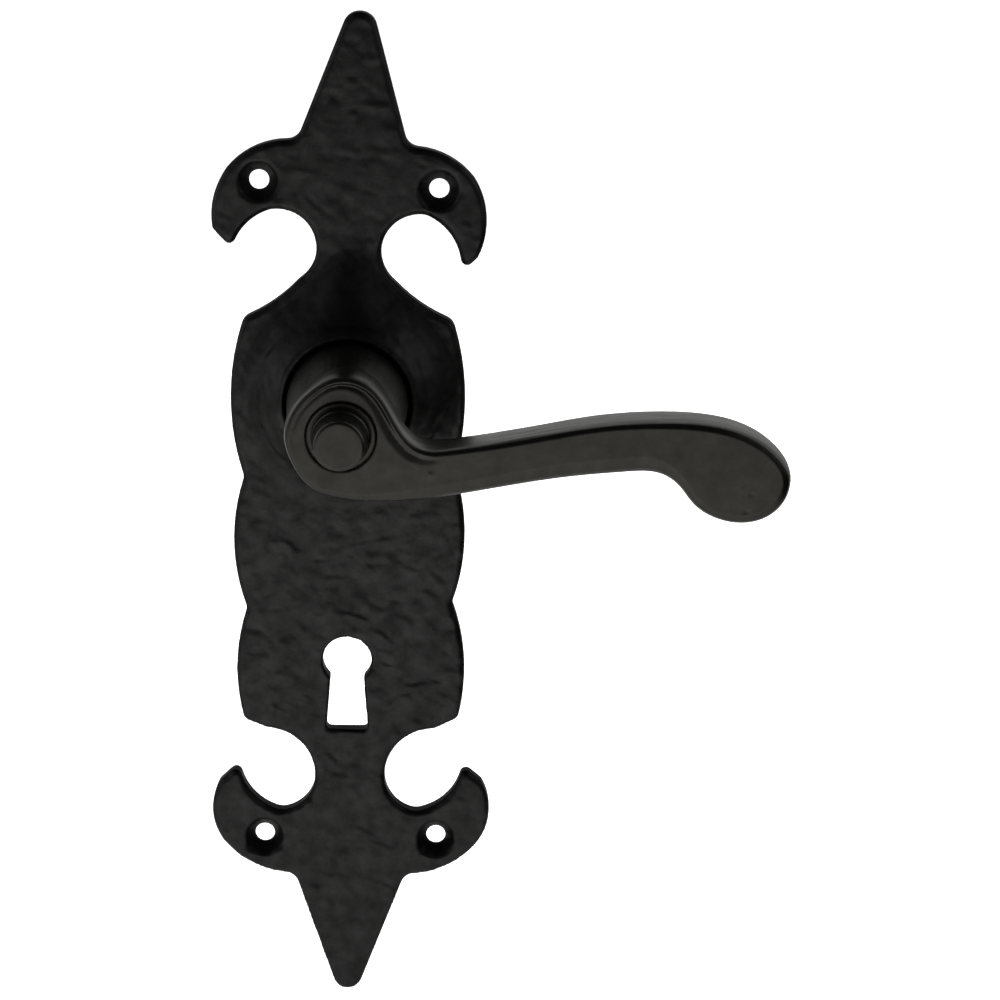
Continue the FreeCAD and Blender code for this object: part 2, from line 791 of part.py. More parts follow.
def spindle():
    """The square bar that turns the lock's follower."""
    half = spindle_width / 2
    start = spindle_end_room - socket_depth
    bar = block(-half, half, start, start + spindle_length, -half, half)
    end_edges = [edge for edge in bar.Edges if abs(edge.tangentAt(0).y) < TINY]
    return bar.makeChamfer(spindle_chamfer, end_edges)


def arc_from(start, heading, end):
    """The arc that leaves a point along a heading and ends at another point."""
    chord = end - start
    along = V(chord.x, chord.y, chord.z).normalize()
    across = heading - along * heading.dot(along)
    across.normalize()
    rise = chord.Length / 2 * math.tan(heading.getAngle(along) / 2)
    middle = (start + end) / 2 + across * rise
    return Part.Arc(start, middle, end).toShape()


def bowed(start, heading, end, leaving):
    """Two arcs that run on smoothly from one point and heading to another point and heading."""
    chord = end - start
    along = chord.dot(heading + leaving)
    spread = 2 * (1 - heading.dot(leaving))
    reach = (math.sqrt(along ** 2 + spread * chord.dot(chord)) - along) / spread
    first = start + heading * reach
    last = end - leaving * reach
    joint = (first + last) / 2
    return [arc_from(start, heading, joint), arc_from(joint, (last - first).normalize(), end)]


def coil_point(share):
    """A point on the coil and the wire's heading there; share is 0 at the fixed end."""
    sweep = math.radians(360 * coil_turns)
    angle = coil_start_angle - 360 * coil_turns * share
    rise = coil_front_depth - coil_back_depth
    point = polar(coil_radius, angle, rise * share - coil_front_depth)
    heading = V(point.z * sweep, rise, -point.x * sweep)
    return point, heading.normalize()


def return_spring():
    """One wire: a straight fixed leg, the coil round the spigot, and a straight moving leg."""
    spans = math.ceil(coil_turns * 2)
    marks = [coil_point(index / spans) for index in range(spans + 1)]
    first, first_heading = marks[0]
    last, last_heading = marks[-1]
    foot = first - first_heading * fixed_leg
    edges = [Part.makeLine(foot, first)]
    for (start, heading), (end, leaving) in zip(marks, marks[1:]):
        edges += bowed(start, heading, end, leaving)
    edges.append(Part.makeLine(last, last + last_heading * moving_leg))
    across = DOOR.cross(first_heading).normalize() * (wire / 2)
    upward = first_heading.cross(across)
    corners = []
    for side in range(wire_sides):
        turn = math.radians(360.0 * side / wire_sides)
        corners.append(foot + across * math.cos(turn) + upward * math.sin(turn))
    section = Part.makePolygon(corners + corners[:1])
    return Part.Wire(edges).makePipeShell([section], True)


def least_coil_gap():
    """The least room between one turn of the wire and the next, measured on points."""
    count = 400
    half_turn = int(count / coil_turns / 2)
    points = [coil_point(index / count)[0] for index in range(count + 1)]
    gaps = []
    for index, point in enumerate(points):
        gaps += [(point - other).Length - wire for other in points[index + half_turn:]]
    return min(gaps)


save(backplate(), "backplate")
save(neck_bush(), "neck_bush")
save(thrust_washer(), "thrust_washer")
save(return_spring(), "return_spring")
save(lever(), "lever")
save(grub_screw(), "grub_screw")
save(drive_plate(), "drive_plate")
save(circlip(), "circlip")
save(spindle(), "spindle")
print("least gap between the spring's turns: %.2f mm" % least_coil_gap())
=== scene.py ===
# %% [markdown]
# # A sprung lever handle on a long backplate
#
# The handle is a pair of black castings: a long plate with spear ends and hooks, and a scroll
# lever that turns in the plate's bell. Small plated steel and nylon pieces sit behind the bell.
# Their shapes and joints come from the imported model. This script gives the two castings the skin
# of real ones, winds the spring from round wire, gives every piece its finish, and sets the floor
# and the lights of a small studio.

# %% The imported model
import math

import bmesh
import bpy
from mathutils import Matrix, Vector, noise


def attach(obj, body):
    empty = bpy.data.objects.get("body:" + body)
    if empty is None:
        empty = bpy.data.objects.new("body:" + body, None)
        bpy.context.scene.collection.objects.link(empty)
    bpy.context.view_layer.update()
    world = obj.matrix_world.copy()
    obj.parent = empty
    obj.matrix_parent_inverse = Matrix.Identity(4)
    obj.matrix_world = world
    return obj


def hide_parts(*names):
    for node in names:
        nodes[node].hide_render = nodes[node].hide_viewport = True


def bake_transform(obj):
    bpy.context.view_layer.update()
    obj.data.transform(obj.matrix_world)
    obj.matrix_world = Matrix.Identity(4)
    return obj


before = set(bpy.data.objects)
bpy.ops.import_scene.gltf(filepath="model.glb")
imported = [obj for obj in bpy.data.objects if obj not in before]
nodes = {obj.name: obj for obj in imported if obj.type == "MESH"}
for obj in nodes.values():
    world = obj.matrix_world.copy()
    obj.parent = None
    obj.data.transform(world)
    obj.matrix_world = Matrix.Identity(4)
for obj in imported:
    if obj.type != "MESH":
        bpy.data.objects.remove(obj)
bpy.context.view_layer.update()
MM = 0.001
print("nodes:", sorted(nodes))

# %% [markdown]
# ## The camera
#
# The photograph was taken a little from above, with a long lens. The place of the camera was
# found from the plate's outline, its holes and the lever's button: 14.7 degrees above the level
# of the handle, 0.75 m away, and turned by half a degree. A long lens keeps the plate's sides
# nearly parallel, so a short one would look wrong even with the same width in view.

# %% The camera
FOCAL_PIXELS = 3623.1
CAMERA_PLACE = Vector((33.15, -724.65, 166.95)) * MM
CAMERA_AIM = Vector((31.02, 0.0, -22.59)) * MM
CAMERA_ROLL = math.radians(0.53)

camera = bpy.data.objects.new("camera", bpy.data.cameras.new("camera"))
camera.data.sensor_width = 36.0
camera.data.lens = 36.0 * FOCAL_PIXELS / 1000.0
turn = (CAMERA_AIM - CAMERA_PLACE).to_track_quat("-Z", "Y").to_matrix().to_4x4()
camera.matrix_world = Matrix.Translation(CAMERA_PLACE) @ turn @ Matrix.Rotation(CAMERA_ROLL, 4, "Z")
camera.data.clip_start = 0.05
camera.data.clip_end = 50.0
bpy.context.scene.collection.objects.link(camera)
bpy.context.scene.camera = camera
print("lens", round(camera.data.lens, 1), "mm")

# %% [markdown]
# ## Small helpers for materials
#
# A material is a little network of nodes. One function adds a node, sets its values and joins its
# inputs, so that a material reads from top to bottom. Colours are picked as they look on a screen,
# in hex, and have to be made linear for the renderer.

# %% Helpers for colours and nodes
def linear(hex_colour):
    """A screen colour such as "#1c1c1b" as the linear colour that the shader wants."""
    channels = [int(hex_colour[i:i + 2], 16) / 255.0 for i in (1, 3, 5)]
    channels = [c / 12.92 if c <= 0.04045 else ((c + 0.055) / 1.055) ** 2.4 for c in channels]
    return (*channels, 1.0)


def add_node(tree, kind, inputs=None, **settings):
    """Adds a node. An input is a value, or the socket that feeds it."""
    made = tree.nodes.new(kind)
    for name, value in settings.items():
        setattr(made, name, value)
    for name, value in (inputs or {}).items():
        if isinstance(value, bpy.types.NodeSocket):
            tree.links.new(value, made.inputs[name])
        else:
            made.inputs[name].default_value = value
    return made


def mixed(tree, share, low, high):
    """A colour between two: each is a colour or the socket that gives one."""
    mix = add_node(tree, "ShaderNodeMix", {"Factor": share}, data_type="RGBA")
    for number, colour in ((6, low), (7, high)):
        if isinstance(colour, bpy.types.NodeSocket):
            tree.links.new(colour, mix.inputs[number])
        else:
            mix.inputs[number].default_value = colour
    return mix.outputs[2]


def new_material(name):
    """An empty material, its node tree and its output."""
    material = bpy.data.materials.new(name)
    material.use_nodes = True
    material.node_tree.nodes.clear()
    output = add_node(material.node_tree, "ShaderNodeOutputMaterial")
    return material, material.node_tree, output


def per_mm(size):
    """The scale of a pattern on Object coordinates whose features are about size mm wide."""
    return 1000.0 / size


def give(piece, material):
    """Puts one material on a piece."""
    piece.data.materials.clear()
    piece.data.materials.append(material)


print("black #1c1c1b is", [round(c, 4) for c in linear("#1c1c1b")])


# %% [markdown]
# ## The finish of the two castings
#
# Both are grey cast iron under a baked black epoxy powder. Powder melts into a satin skin: it has
# a faint orange peel, about half a millimetre from bump to bump, and its gloss changes a little
# from place to place. The colour itself is nearly nothing, so what the eye sees is the room in
# the gloss. The lever was rubbed down before coating and has a thicker coat, so it shines more
# than the hammered plate. Corners, where the skin is thin and hands rub it, are a shade lighter.
#
# The plate's rim and the walls of its holes are as the sand left them, and powder lies thin and
# dull there. So the level of the plate's gloss falls where the surface turns away from the front.
# It also changes in patches of three millimetres, or a flat face would look like plastic.

# %% The level of the gloss
FULL_GLOSS = 0.5


def gloss_level(tree, place, rim_gloss, patchy):
    """The gloss of a coat: full on the front and back, rim_gloss on steep walls, and patchy."""
    facing = add_node(tree, "ShaderNodeSeparateXYZ",
                      {"Vector": add_node(tree, "ShaderNodeTexCoord").outputs["Normal"]})
    front = add_node(tree, "ShaderNodeMath", {0: facing.outputs["Y"]}, operation="ABSOLUTE")
    turned = add_node(tree, "ShaderNodeMapRange",
                      {"Value": front.outputs[0], "From Min": 0.45, "From Max": 0.97,
                       "To Min": rim_gloss, "To Max": FULL_GLOSS})
    patch = add_node(tree, "ShaderNodeTexNoise",
                     {"Vector": place, "Scale": per_mm(3.2), "Detail": 3.0, "Roughness": 0.6})
    share = add_node(tree, "ShaderNodeMapRange",
                     {"Value": patch.outputs["Fac"], "From Min": 0.3, "From Max": 0.7,
                      "To Min": 1.0 - patchy, "To Max": 1.0 + patchy})
    level = add_node(tree, "ShaderNodeMath",
                     {0: turned.outputs["Result"], 1: share.outputs["Result"]},
                     operation="MULTIPLY")
    return level.outputs[0]


print("gloss is", FULL_GLOSS, "on a flat face")


# %% Black epoxy powder on cast iron
def powder_coated_iron(name, dark, light, rough, sheen, index, rim_gloss, patchy):
    """Satin black powder coat: mottled over 12 mm, orange peel of 0.5 mm, rubbed corners."""
    material, tree, output = new_material(name)
    place = add_node(tree, "ShaderNodeTexCoord").outputs["Object"]
    cloud = add_node(tree, "ShaderNodeTexNoise",
                     {"Vector": place, "Scale": per_mm(12.0), "Detail": 4.0, "Roughness": 0.6})
    mottle = mixed(tree, cloud.outputs["Fac"], linear(dark), linear(light))
    corner = add_node(tree, "ShaderNodeNewGeometry").outputs["Pointiness"]
    rubbed = add_node(tree, "ShaderNodeMapRange",
                      {"Value": corner, "From Min": 0.53, "From Max": 0.62,
                       "To Min": 0.0, "To Max": 0.06})
    worn = mixed(tree, rubbed.outputs["Result"], mottle, linear("#2c2b29"))
    cure = add_node(tree, "ShaderNodeTexNoise",
                    {"Vector": place, "Scale": per_mm(5.0), "Detail": 3.0, "Roughness": 0.55})
    satin = add_node(tree, "ShaderNodeMapRange",
                     {"Value": cure.outputs["Fac"], "From Min": 0.3, "From Max": 0.7,
                      "To Min": rough[0], "To Max": rough[1]})
    peel = add_node(tree, "ShaderNodeTexNoise",
                    {"Vector": place, "Scale": per_mm(0.5), "Detail": 2.0, "Roughness": 0.5})
    bump = add_node(tree, "ShaderNodeBump",
                    {"Height": peel.outputs["Fac"], "Strength": 0.35, "Distance": 0.02 * MM})
    shader = add_node(tree, "ShaderNodeBsdfPrincipled",
                      {"Base Color": worn, "Roughness": satin.outputs["Result"],
                       "Normal": bump.outputs["Normal"], "IOR": index,
                       "Specular IOR Level": gloss_level(tree, place, rim_gloss, patchy),
                       "Specular Tint": linear(sheen)})
    tree.links.new(shader.outputs["BSDF"], output.inputs["Surface"])
    return material


# %% The two coats
# Cured epoxy has an index of 1.5 to 1.6. The lever's is set higher, for its thicker, fuller coat.
plate_coat = powder_coated_iron(
    "powder_coat_on_hammered_casting", "#080808", "#0b0b0a", rough=(0.34, 0.42),
    sheen="#ffffff", index=1.5, rim_gloss=0.02, patchy=0.30)
lever_coat = powder_coated_iron(
    "powder_coat_on_smooth_casting", "#0a0a09", "#0d0d0c", rough=(0.27, 0.33),
    sheen="#fffcf2", index=1.64, rim_gloss=FULL_GLOSS, patchy=0.12)
print("made", plate_coat.name, "and", lever_coat.name)


# %% [markdown]
# ## Steel and nylon
#
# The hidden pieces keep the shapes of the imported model. Bright zinc plating on cold drawn bar has
# fine lines along the bar, a zinc plated pressing has a cloudier face, spring wire and the
# circlip are dark from their heat treatment and oil, and the bush is black nylon.

# %% Plated and oiled steel
def plated_steel(name, dark, light, roughness, lines, grain):
    """A metal whose colour and gloss change along fine lines; lines is the pattern's stretch."""
    material, tree, output = new_material(name)
    place = add_node(tree, "ShaderNodeTexCoord").outputs["Object"]
    drawn = add_node(tree, "ShaderNodeMapping", {"Vector": place, "Scale": lines})
    streak = add_node(tree, "ShaderNodeTexNoise",
                      {"Vector": drawn.outputs["Vector"], "Scale": per_mm(grain),
                       "Detail": 4.0, "Roughness": 0.6})
    tone = mixed(tree, streak.outputs["Fac"], linear(dark), linear(light))
    rough = add_node(tree, "ShaderNodeMapRange",
                     {"Value": streak.outputs["Fac"], "From Min": 0.25, "From Max": 0.75,
                      "To Min": roughness - 0.06, "To Max": roughness + 0.08})
    bump = add_node(tree, "ShaderNodeBump",
                    {"Height": streak.outputs["Fac"], "Strength": 0.3, "Distance": 0.01 * MM})
    shader = add_node(tree, "ShaderNodeBsdfPrincipled",
                      {"Base Color": tone, "Metallic": 1.0,
                       "Roughness": rough.outputs["Result"], "Normal": bump.outputs["Normal"]})
    tree.links.new(shader.outputs["BSDF"], output.inputs["Surface"])
    return material


drawn_zinc = plated_steel("bright_zinc_on_drawn_bar", "#a9acae", "#cfd1d2", 0.30,
                          (1.0, 0.05, 1.0), 0.4)
pressed_zinc = plated_steel("bright_zinc_on_pressing", "#a3a39c", "#c4c3b8", 0.36,
                            (1.0, 1.0, 1.0), 1.5)
washer_zinc = plated_steel("bright_zinc_on_washer", "#a8aaab", "#c9cbcb", 0.33,
                           (1.0, 1.0, 1.0), 1.0)
oiled_wire = plated_steel("oiled_spring_wire", "#6a645b", "#8b857a", 0.30, (1.0, 1.0, 1.0), 0.6)
black_screw = plated_steel("black_oxide_screw", "#2e2d2c", "#45423f", 0.38, (1.0, 1.0, 1.0), 0.5)
phosphated = plated_steel("phosphated_clip", "#3d3c3a", "#545250", 0.50, (1.0, 1.0, 1.0), 0.3)


# %% Black nylon
def black_nylon(name):
    """Moulded nylon filled with carbon black: a dull, even, slightly pebbled gloss."""
    material, tree, output = new_material(name)
    place = add_node(tree, "ShaderNodeTexCoord").outputs["Object"]
    cloud = add_node(tree, "ShaderNodeTexNoise",
                     {"Vector": place, "Scale": per_mm(3.0), "Detail": 3.0, "Roughness": 0.5})
    tone = mixed(tree, cloud.outputs["Fac"], linear("#0c0c0c"), linear("#121212"))
    bump = add_node(tree, "ShaderNodeBump",
                    {"Height": cloud.outputs["Fac"], "Strength": 0.2, "Distance": 0.02 * MM})
    shader = add_node(tree, "ShaderNodeBsdfPrincipled",
                      {"Base Color": tone, "Roughness": 0.5, "IOR": 1.53,
                       "Normal": bump.outputs["Normal"]})
    tree.links.new(shader.outputs["BSDF"], output.inputs["Surface"])
    return material


nylon = black_nylon("black_moulded_nylon")

give(nodes["neck_bush"], nylon)
give(nodes["thrust_washer"], washer_zinc)
give(nodes["grub_screw"], black_screw)
give(nodes["drive_plate"], pressed_zinc)
give(nodes["circlip"], phosphated)
give(nodes["spindle"], drawn_zinc)
print("finished", len(bpy.data.materials), "materials")


# %% [markdown]
# ## The return spring
#
# The spring is one piece of 1.2 mm wire, wound 1.6 times round the plate's spigot, with a straight
# leg at each end. The imported model draws it with eight flat sides. Here it is wound as a spring
# maker winds it: a round section is spun about the axis while it creeps along, and then each
# end is drawn out straight. In the real handle one leg stays with the plate and the other goes
# with the lever, so the wire between them twists as the lever turns. Here it is one rigid piece.

# %% A ring of wire, and a leg drawn out from it
WIRE = 1.2
COIL_RADIUS = 12.8
COIL_TURNS = 1.6
FIXED_END = (-10.8, -6.85)
MOVING_END_Y = -4.0
FIXED_LEG, MOVING_LEG = 5.0, 8.0


def wire_ring(shape):
    """The round section at the coil's fixed end, square to the wire."""
    angle, depth = FIXED_END
    centre = Vector((COIL_RADIUS, depth, 0.0)) * MM
    ring = bmesh.ops.create_circle(shape, cap_ends=False, segments=16, radius=WIRE / 2 * MM,
                                   matrix=Matrix.Translation(centre))
    bmesh.ops.rotate(shape, cent=(0, 0, 0), matrix=Matrix.Rotation(-math.radians(angle), 3, "Y"),
                     verts=ring["verts"])
    return list({edge for vert in ring["verts"] for edge in vert.link_edges})


def draw_out(shape, ring, angle, way, length):
    """Draws a ring of edges out along the wire's heading at that angle, and closes the end."""
    turned = math.radians(angle)
    creep = (MOVING_END_Y - FIXED_END[1]) / (math.radians(360.0 * COIL_TURNS) * COIL_RADIUS)
    heading = Vector((math.sin(turned), creep, -math.cos(turned))).normalized()
    tip = bmesh.ops.extrude_edge_only(shape, edges=ring)["geom"]
    points = [item for item in tip if isinstance(item, bmesh.types.BMVert)]
    bmesh.ops.translate(shape, verts=points, vec=heading * way * length * MM)
    rim = [item for item in tip if isinstance(item, bmesh.types.BMEdge)]
    rim = [edge for edge in rim if all(vert in points for vert in edge.verts)]
    bmesh.ops.contextual_create(shape, geom=rim)


print("wire", WIRE, "mm, coil", 2 * COIL_RADIUS, "mm across")

# %% Wind the spring
STEPS = 96
wound = bmesh.new()
first_ring = wire_ring(wound)
creep_step = Vector((0, (MOVING_END_Y - FIXED_END[1]) / STEPS, 0)) * MM
spun = bmesh.ops.spin(wound, geom=first_ring + list(wound.verts), cent=(0, 0, 0), axis=(0, 1, 0),
                      dvec=creep_step, angle=math.radians(360.0 * COIL_TURNS), steps=STEPS,
                      use_merge=False)
last_ring = [item for item in spun["geom_last"] if isinstance(item, bmesh.types.BMEdge)]
draw_out(wound, first_ring, FIXED_END[0], -1.0, FIXED_LEG)
draw_out(wound, last_ring, FIXED_END[0] - 360.0 * COIL_TURNS, 1.0, MOVING_LEG)
bmesh.ops.recalc_face_normals(wound, faces=wound.faces)
for face in wound.faces:
    face.smooth = len(face.verts) == 4

# %% Place the spring
spring_mesh = bpy.data.meshes.new("wound_spring")
wound.to_mesh(spring_mesh)
wound.free()
spring = bpy.data.objects.new("wound_spring", spring_mesh)
bpy.context.scene.collection.objects.link(spring)
give(spring, oiled_wire)
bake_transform(spring)
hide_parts("return_spring")
print("spring:", len(spring_mesh.polygons), "faces")


# %% [markdown]
# ## An even skin for a casting
#
# The imported model's mesh is made of long thin triangles, which can't be dented. A voxel remesh
# turns a closed mesh into small even squares, and four rounds of smoothing take out its steps.
# That would make the corners too round, so the squares are then drawn back onto the model, and
# smoothed once more. Corners keep the small radius that sand and powder give a real casting.
# The squares are 0.45 mm on the plate and 0.32 mm on the lever. The squares are as small as
# 200,000 triangles for each piece allow.

# %% Remesh a copy of a node
def cast_skin(node, name, square):
    """A copy of a node as even squares of the given size in mm, lying on the node's own shape."""
    copy = bmesh.new()
    copy.from_mesh(nodes[node].data)
    bmesh.ops.remove_doubles(copy, verts=copy.verts, dist=0.001 * MM)
    mesh = bpy.data.meshes.new(name)
    copy.to_mesh(mesh)
    copy.free()
    rough = bpy.data.objects.new(name + "_rough", mesh)
    model = bpy.data.objects.new(name + "_model", mesh.copy())
    bpy.context.scene.collection.objects.link(rough)
    bpy.context.scene.collection.objects.link(model)
    remesh = rough.modifiers.new("even", "REMESH")
    remesh.mode = "VOXEL"
    remesh.voxel_size = square * MM
    remesh.use_smooth_shade = True
    smooth = rough.modifiers.new("calm", "SMOOTH")
    smooth.factor = 0.5
    smooth.iterations = 4
    wrap = rough.modifiers.new("true", "SHRINKWRAP")
    wrap.target = model
    last = rough.modifiers.new("last", "SMOOTH")
    last.factor = 0.5
    last.iterations = 1
    bpy.context.view_layer.update()
    seen = rough.evaluated_get(bpy.context.evaluated_depsgraph_get())
    skin_mesh = bpy.data.meshes.new_from_object(seen)
    bpy.data.objects.remove(rough)
    bpy.data.objects.remove(model)
    skin = bpy.data.objects.new(name, skin_mesh)
    bpy.context.scene.collection.objects.link(skin)
    print(name, "has", len(skin_mesh.vertices), "points and", len(skin_mesh.polygons), "squares")
    return skin


# %% Dent a skin
def dent(skin, depth_at):
    """Moves each point of a skin along its normal by depth_at(place in mm, normal)."""
    mesh = skin.data
    moves = []
    for vertex in mesh.vertices:
        place = vertex.co * 1000.0
        moves.append(vertex.co - vertex.normal * (depth_at(place, vertex.normal) * MM))
    for vertex, place in zip(mesh.vertices, moves):
        vertex.co = place
    mesh.update()


plate_skin = cast_skin("backplate", "backplate_casting", 0.45)
lever_skin = cast_skin("lever", "lever_casting", 0.32)


# %% [markdown]
# ## Hammer marks on the plate
#
# The pattern for the casting was hammered. Its face has two kinds of marks: strokes a few
# millimetres long, mostly falling to the right, which are listed one by one, and a fine uneven
# skin under them, which noise makes. A stroke is a slope of some degrees, a tenth or two of a
# millimetre deep. A slope that faces up mirrors the dark ceiling and reads dark. Both kinds get
# deeper towards the plate's lower half, as the photograph shows them.

# %% Strokes of the hammer
# The middle of each stroke, its length and width in mm, its lean in degrees, and its slope
# before STROKE_GAIN, which is given with the plate's depth below.
STROKES = (
    (-11.6, -32.0, 3.2, 0.7, -49, 0.13), (-12.9, -33.2, 3.0, 0.7, -49, -0.12),
    (-16.0, -37.9, 1.8, 0.6, -34, 0.09), (-6.1, -35.1, 1.8, 0.8, 1, 0.16),
    (-3.8, -32.2, 1.0, 0.5, -29, 0.14), (0.1, -33.8, 1.2, 0.6, -25, 0.12),
    (4.0, -35.8, 4.5, 0.6, -55, 0.11), (11.0, -35.8, 3.1, 0.8, -40, 0.12),
    (11.7, -34.0, 2.2, 0.7, -30, -0.12), (4.2, -30.7, 7.0, 0.5, 10, 0.11),
    (2.3, -28.5, 2.4, 0.5, -90, 0.10), (-2.5, -38.5, 5.2, 0.9, 2, 0.09),
    (-9.5, -40.1, 2.7, 0.6, -27, 0.11), (-10.7, -45.1, 2.0, 0.8, -13, 0.10),
    (1.4, -46.7, 4.4, 0.7, -19, 0.10), (7.6, -51.2, 4.0, 0.8, -42, 0.12),
    (8.1, -57.3, 2.6, 0.7, -23, 0.08), (13.8, -61.6, 3.5, 0.7, 11, 0.10),
    (18.2, -60.9, 1.8, 0.6, -13, 0.10), (19.1, -63.6, 2.4, 0.6, -32, 0.08),
    (9.8, -64.1, 3.3, 0.6, 65, 0.08), (-14.6, -66.9, 3.3, 0.7, -31, 0.12),
    (-9.8, -64.0, 3.0, 0.6, -20, 0.10), (-16.8, -60.5, 4.0, 0.7, -8, 0.07),
    (-14.9, -30.8, 1.8, 0.6, 7, 0.08), (-14.9, -20.3, 1.8, 0.6, -90, 0.10),
    (15.1, -26.9, 4.1, 0.9, -87, 0.08), (6.5, -45.5, 2.3, 0.6, -46, 0.07),
    (17.2, -49.0, 2.6, 0.7, -52, 0.07), (8.0, -26.1, 2.5, 0.7, -90, 0.07),
    (-13.6, -33.1, 2.1, 0.6, -80, 0.07), (-15.3, -45.6, 1.7, 0.7, -46, 0.06),
    (0.7, 64.9, 2.6, 1.2, -4, 0.11), (-3.1, 60.9, 3.4, 1.1, -54, 0.09),
    (4.6, 63.2, 3.0, 0.8, -35, -0.13), (5.9, 60.4, 4.9, 1.4, -9, 0.08),
    (0.1, 71.9, 2.9, 1.1, -19, 0.08), (4.3, 69.5, 2.5, 1.2, -14, 0.08),
    (3.1, 70.3, 1.6, 0.7, -70, -0.11), (1.1, 58.3, 1.6, 0.8, -7, 0.12),
    (9.1, 55.4, 3.4, 1.6, -20, 0.10), (-9.0, 51.6, 3.7, 0.7, 80, 0.10),
    (-8.0, 51.8, 3.4, 0.7, 80, -0.11), (-11.3, 49.9, 1.8, 0.8, -22, -0.10),
    (16.5, 48.9, 3.0, 0.6, -20, 0.14), (15.0, 47.4, 1.4, 0.6, -18, 0.13),
    (7.7, 49.2, 2.2, 0.8, -21, -0.09), (-7.1, 39.5, 7.8, 0.8, -42, 0.12),
    (-9.6, 41.4, 2.6, 0.8, -60, -0.13), (3.9, 42.1, 2.6, 0.8, -22, 0.09),
    (4.3, 32.3, 1.9, 0.8, -32, 0.11), (24.1, 35.9, 1.8, 0.8, -26, 0.12),
    (26.3, 32.9, 2.1, 0.7, -11, 0.13), (-7.7, 46.4, 3.2, 0.6, -7, 0.08),
    (-0.5, 48.9, 1.7, 0.7, -14, 0.07), (-25.7, 37.2, 2.3, 0.7, -31, 0.08),
    (-3.7, -77.6, 2.9, 0.7, -49, 0.14), (0.3, -77.3, 2.0, 0.6, -42, 0.10),
    (-1.9, -81.6, 3.0, 0.8, -12, 0.10), (3.3, -93.9, 3.8, 0.6, -27, 0.14),
    (6.4, -96.8, 3.4, 0.6, -22, 0.13), (-3.7, -110.4, 3.4, 0.8, -52, 0.10),
    (-9.7, -97.0, 2.4, 0.7, -47, 0.08), (-2.1, -96.1, 11.8, 0.5, 0, 0.05),
    (-13.3, -92.1, 3.9, 0.8, -42, 0.08), (5.0, -102.6, 2.6, 0.7, -9, 0.08),
)


# %% The depth of a set of strokes
BAND_PEAK = 0.43


def struck(strokes, x, z):
    """Depth in mm that a set of strokes gives at a point; each tilts a short band of skin."""
    depth = 0.0
    for middle_x, middle_z, length, width, lean, slope in strokes:
        away_x, away_z = x - middle_x, z - middle_z
        if abs(away_x) + abs(away_z) > length + 4.0 * width:
            continue
        turned = math.radians(lean)
        along = (away_x * math.cos(turned) + away_z * math.sin(turned)) / (length / 2)
        across = (away_z * math.cos(turned) - away_x * math.sin(turned)) / width
        if abs(along) < 2.5 and abs(across) < 3.0:
            depth += slope * width * across * math.exp(-across ** 2 - along ** 4 / 2)
    return depth


deepest = max(abs(row[3] * row[5]) for row in STROKES) * BAND_PEAK
print(len(STROKES), "strokes, the deepest", round(deepest, 3), "mm before its gain")


# %% The uneven skin between the strokes
DENT_LEAN = -38.0
DENT_DEPTH, FINE_DEPTH, BROAD_DEPTH = 0.05, 0.014, 0.08
WANDER = 1.6


def uneven(x, z):
    """Depth in mm of the skin's short leaning dents and broad soft hollows."""
    x += WANDER * noise.noise(Vector((x / 5.0, z / 5.0, 3.0)))
    z += WANDER * noise.noise(Vector((x / 5.0, z / 5.0, 23.0)))
    lean = math.radians(DENT_LEAN)
    along = x * math.cos(lean) + z * math.sin(lean)
    across = -x * math.sin(lean) + z * math.cos(lean)
    dents = noise.noise(Vector((along / 3.0, across / 2.1, 11.0)))
    fine = noise.noise(Vector((along / 1.3, across / 1.0, 5.0)))
    broad = noise.noise(Vector((x / 9.0, z / 9.0, 7.0)))
    return DENT_DEPTH * dents + FINE_DEPTH * fine + BROAD_DEPTH * broad


print("uneven at the keyhole:", round(uneven(0.0, -56.4), 3), "mm before its gain")


# %% [markdown]
# ## The bell
#
# The pattern maker worked the bell with a gouge and left it in shallow crescents that turn round
# the neck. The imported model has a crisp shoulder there. The skin's points are laid on a softer
# slope between the foot and the lip, and then struck with crescents like the plate's face. The
# bell's foot is round, but reaches up to a point under the top spear.

# %% The bell's slope and crescents
# Each slope's rows are a place and the height there: for BELL_SLOPE the share of the way from the
# shoulder to the foot, for DOME_SLOPE the radius. Crescents are written like the strokes.
FRONT = -4.0
SHOULDER_RADIUS = 16.0
FOOT_RADIUS = 22.4
FOOT_TOP = 30.5
FOOT_SHARPNESS = 26
BELL_SLOPE = ((1.2, 0.0), (1.0, 0.2), (0.86, 0.6), (0.72, 1.1), (0.45, 2.4), (0.2, 4.0),
              (0.0, 5.3))
DOME_SLOPE = ((16.0, 5.3), (15.4, 6.0), (14.7, 6.7), (13.9, 7.15))
CRESCENTS = (
    (-15.6, 2.4, 6, 1.26, -88, 0.15), (-17.2, -1, 4, 0.7, -88, 0.15),
    (-16.4, -5.2, 6, 0.84, -66, 0.14), (-14.6, -9.4, 3.4, 0.84, -58, 0.12),
    (-22.2, 2, 6, 0.7, -88, 0.17), (-20.9, 0.2, 5.5, 0.98, -92, 0.17),
    (-20.3, -6.2, 4.5, 1.12, -58, 0.15), (-17.6, 7.2, 6, 0.98, 62, 0.10),
    (-14.9, 11, 5, 0.98, 50, 0.10), (15.1, 5, 8, 0.84, -76, -0.12),
    (15.4, -1.8, 5, 0.84, -100, -0.12), (19.3, -2.8, 7, 0.84, 58, -0.17),
    (16.6, -8, 2.6, 1.4, 30, -0.17), (10.4, 12, 4.5, 0.84, -52, -0.10),
    (19.6, 5, 6, 1.12, -80, -0.09),
)


print(len(CRESCENTS), "crescents on a bell", DOME_SLOPE[-1][1], "mm high")


